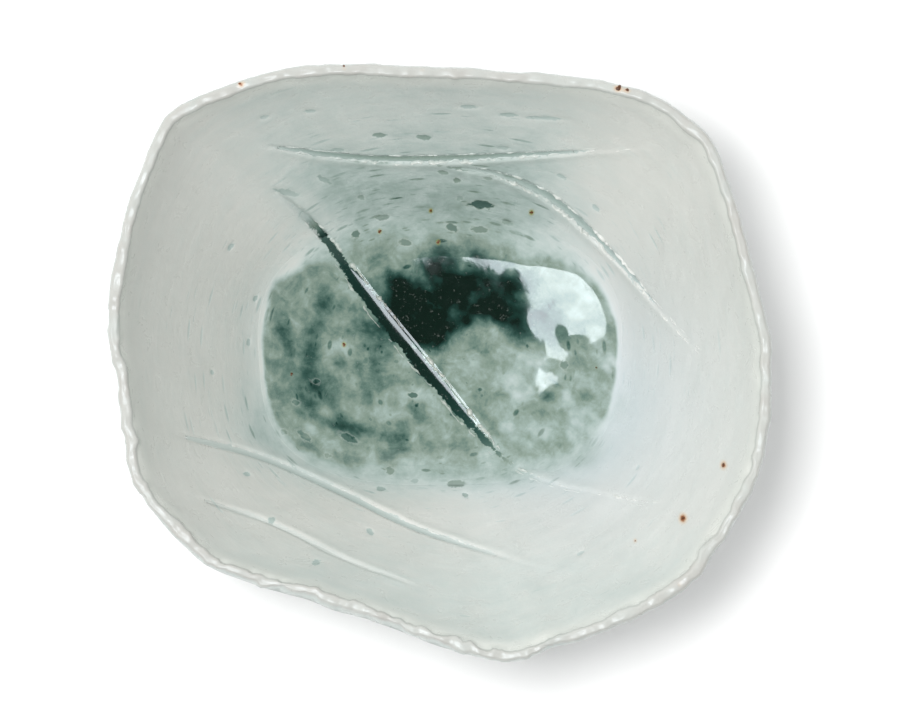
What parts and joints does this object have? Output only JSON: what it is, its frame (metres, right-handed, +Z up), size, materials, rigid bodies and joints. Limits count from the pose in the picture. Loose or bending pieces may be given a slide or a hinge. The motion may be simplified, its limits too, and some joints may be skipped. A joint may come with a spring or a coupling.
{
  "type": "tea bowl",
  "caption": "Hand-built porcelain tea bowl with a torn lip, gashed inner wall, green glass pooled in the well and a plain foot ring.",
  "frame": {"origin": "on the ground plane, under the middle of the lip's outline", "axes": "+Z up out of the bowl; +X along the lip's longest extent, to the right in the picture"},
  "size_m": [0.14, 0.126, 0.075],
  "materials": {
    "glazed_porcelain": "clear pale celadon glaze, glossy",
    "bare_porcelain": "unglazed at the ground, matt",
    "pooled_glass": "thick green glaze glass, mottled, glossy",
    "gash_glass": "grey-green glaze glass, glossy"
  },
  "bodies": {
    "root": {"porcelain_body": "glazed_porcelain", "foot_ring": "bare_porcelain", "glass_pool": "pooled_glass", "gash_glass_top": "gash_glass", "gash_glass_arc": "gash_glass", "gash_glass_lower": "gash_glass", "gash_glass_outer": "gash_glass"}
  },
  "joints": []
}
